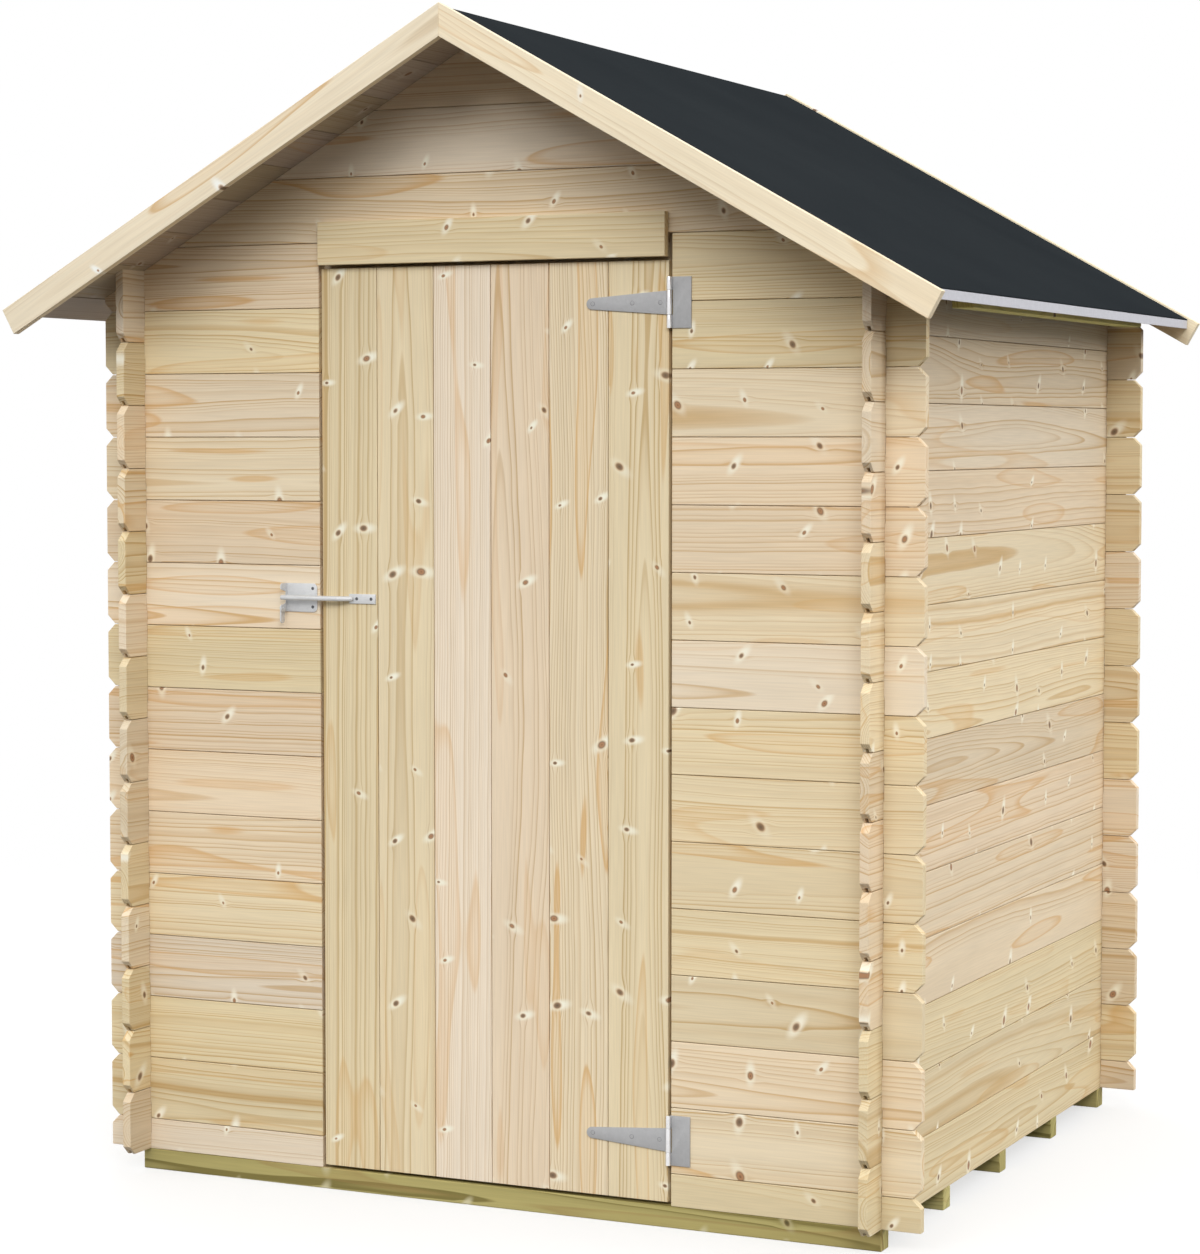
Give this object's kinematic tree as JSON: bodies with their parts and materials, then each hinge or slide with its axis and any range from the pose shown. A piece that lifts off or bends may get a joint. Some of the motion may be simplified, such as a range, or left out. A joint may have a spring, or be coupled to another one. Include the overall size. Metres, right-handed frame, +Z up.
{
  "type": "wooden garden shed",
  "caption": "Small wooden garden shed of notched interlocking boards, with a felted gable roof, treated bearers and a single ledged door on strap hinges with a bar latch.",
  "frame": {"origin": "middle of the bottom of the overall box, on the ground", "axes": "+X to the right seen from the front, +Y to the back, +Z up"},
  "size_m": [1.768, 1.57, 2.0698],
  "materials": {
    "wall_wood": "raw planed spruce",
    "door_wood": "raw planed spruce",
    "barge_wood": "raw planed spruce",
    "treated_wood": "pressure-treated, olive green",
    "roofing_felt": "anthracite bitumen felt",
    "grey_trim": "light grey",
    "galvanised_steel": "galvanised",
    "latch_steel": "bright zinc"
  },
  "bodies": {
    "shed": {"floor_bearer_1": "treated_wood", "floor_bearer_2": "treated_wood", "floor_bearer_3": "treated_wood", "floor_bearer_4": "treated_wood", "floor_bearer_5": "treated_wood", "floor": "wall_wood", "left_wall": "wall_wood", "right_wall": "wall_wood", "back_wall": "wall_wood", "front_wall_left": "wall_wood", "front_wall_right": "wall_wood", "front_gable": "wall_wood", "door_post_left": "wall_wood", "door_post_right": "wall_wood", "door_head": "wall_wood", "door_header": "wall_wood", "upper_hinge_plate": "galvanised_steel", "lower_hinge_plate": "galvanised_steel", "latch_plate": "latch_steel", "roof_panel_left": "wall_wood", "roof_panel_right": "wall_wood", "roof_felt_left": "roofing_felt", "roof_felt_right": "roofing_felt", "eaves_trim_left": "grey_trim", "eaves_trim_right": "grey_trim", "eaves_batten_left": "treated_wood", "eaves_batten_right": "treated_wood", "front_barge_left": "barge_wood", "front_barge_right": "barge_wood", "back_barge_left": "barge_wood", "back_barge_right": "barge_wood"},
    "door": {"door_board_1": "door_wood", "door_board_2": "door_wood", "door_board_3": "door_wood", "door_board_4": "door_wood", "door_board_5": "door_wood", "door_board_6": "door_wood", "upper_ledge": "door_wood", "middle_ledge": "door_wood", "lower_ledge": "door_wood", "upper_hinge_strap": "galvanised_steel", "lower_hinge_strap": "galvanised_steel", "latch_bar": "latch_steel"},
    "latch_catch": {"latch_catch": "latch_steel"}
  },
  "joints": [
    {"name": "door_hinge", "type": "hinge", "parent": "shed", "child": "door", "pos_m": [0.339, -0.601, 0.9], "axis": [0, 0, 1], "range_deg": [0, 140]},
    {"name": "catch_pivot", "type": "hinge", "parent": "shed", "child": "latch_catch", "pos_m": [-0.41275, -0.608, 1.044], "axis": [-1, 0, 0], "range_deg": [0, 115]}
  ]
}
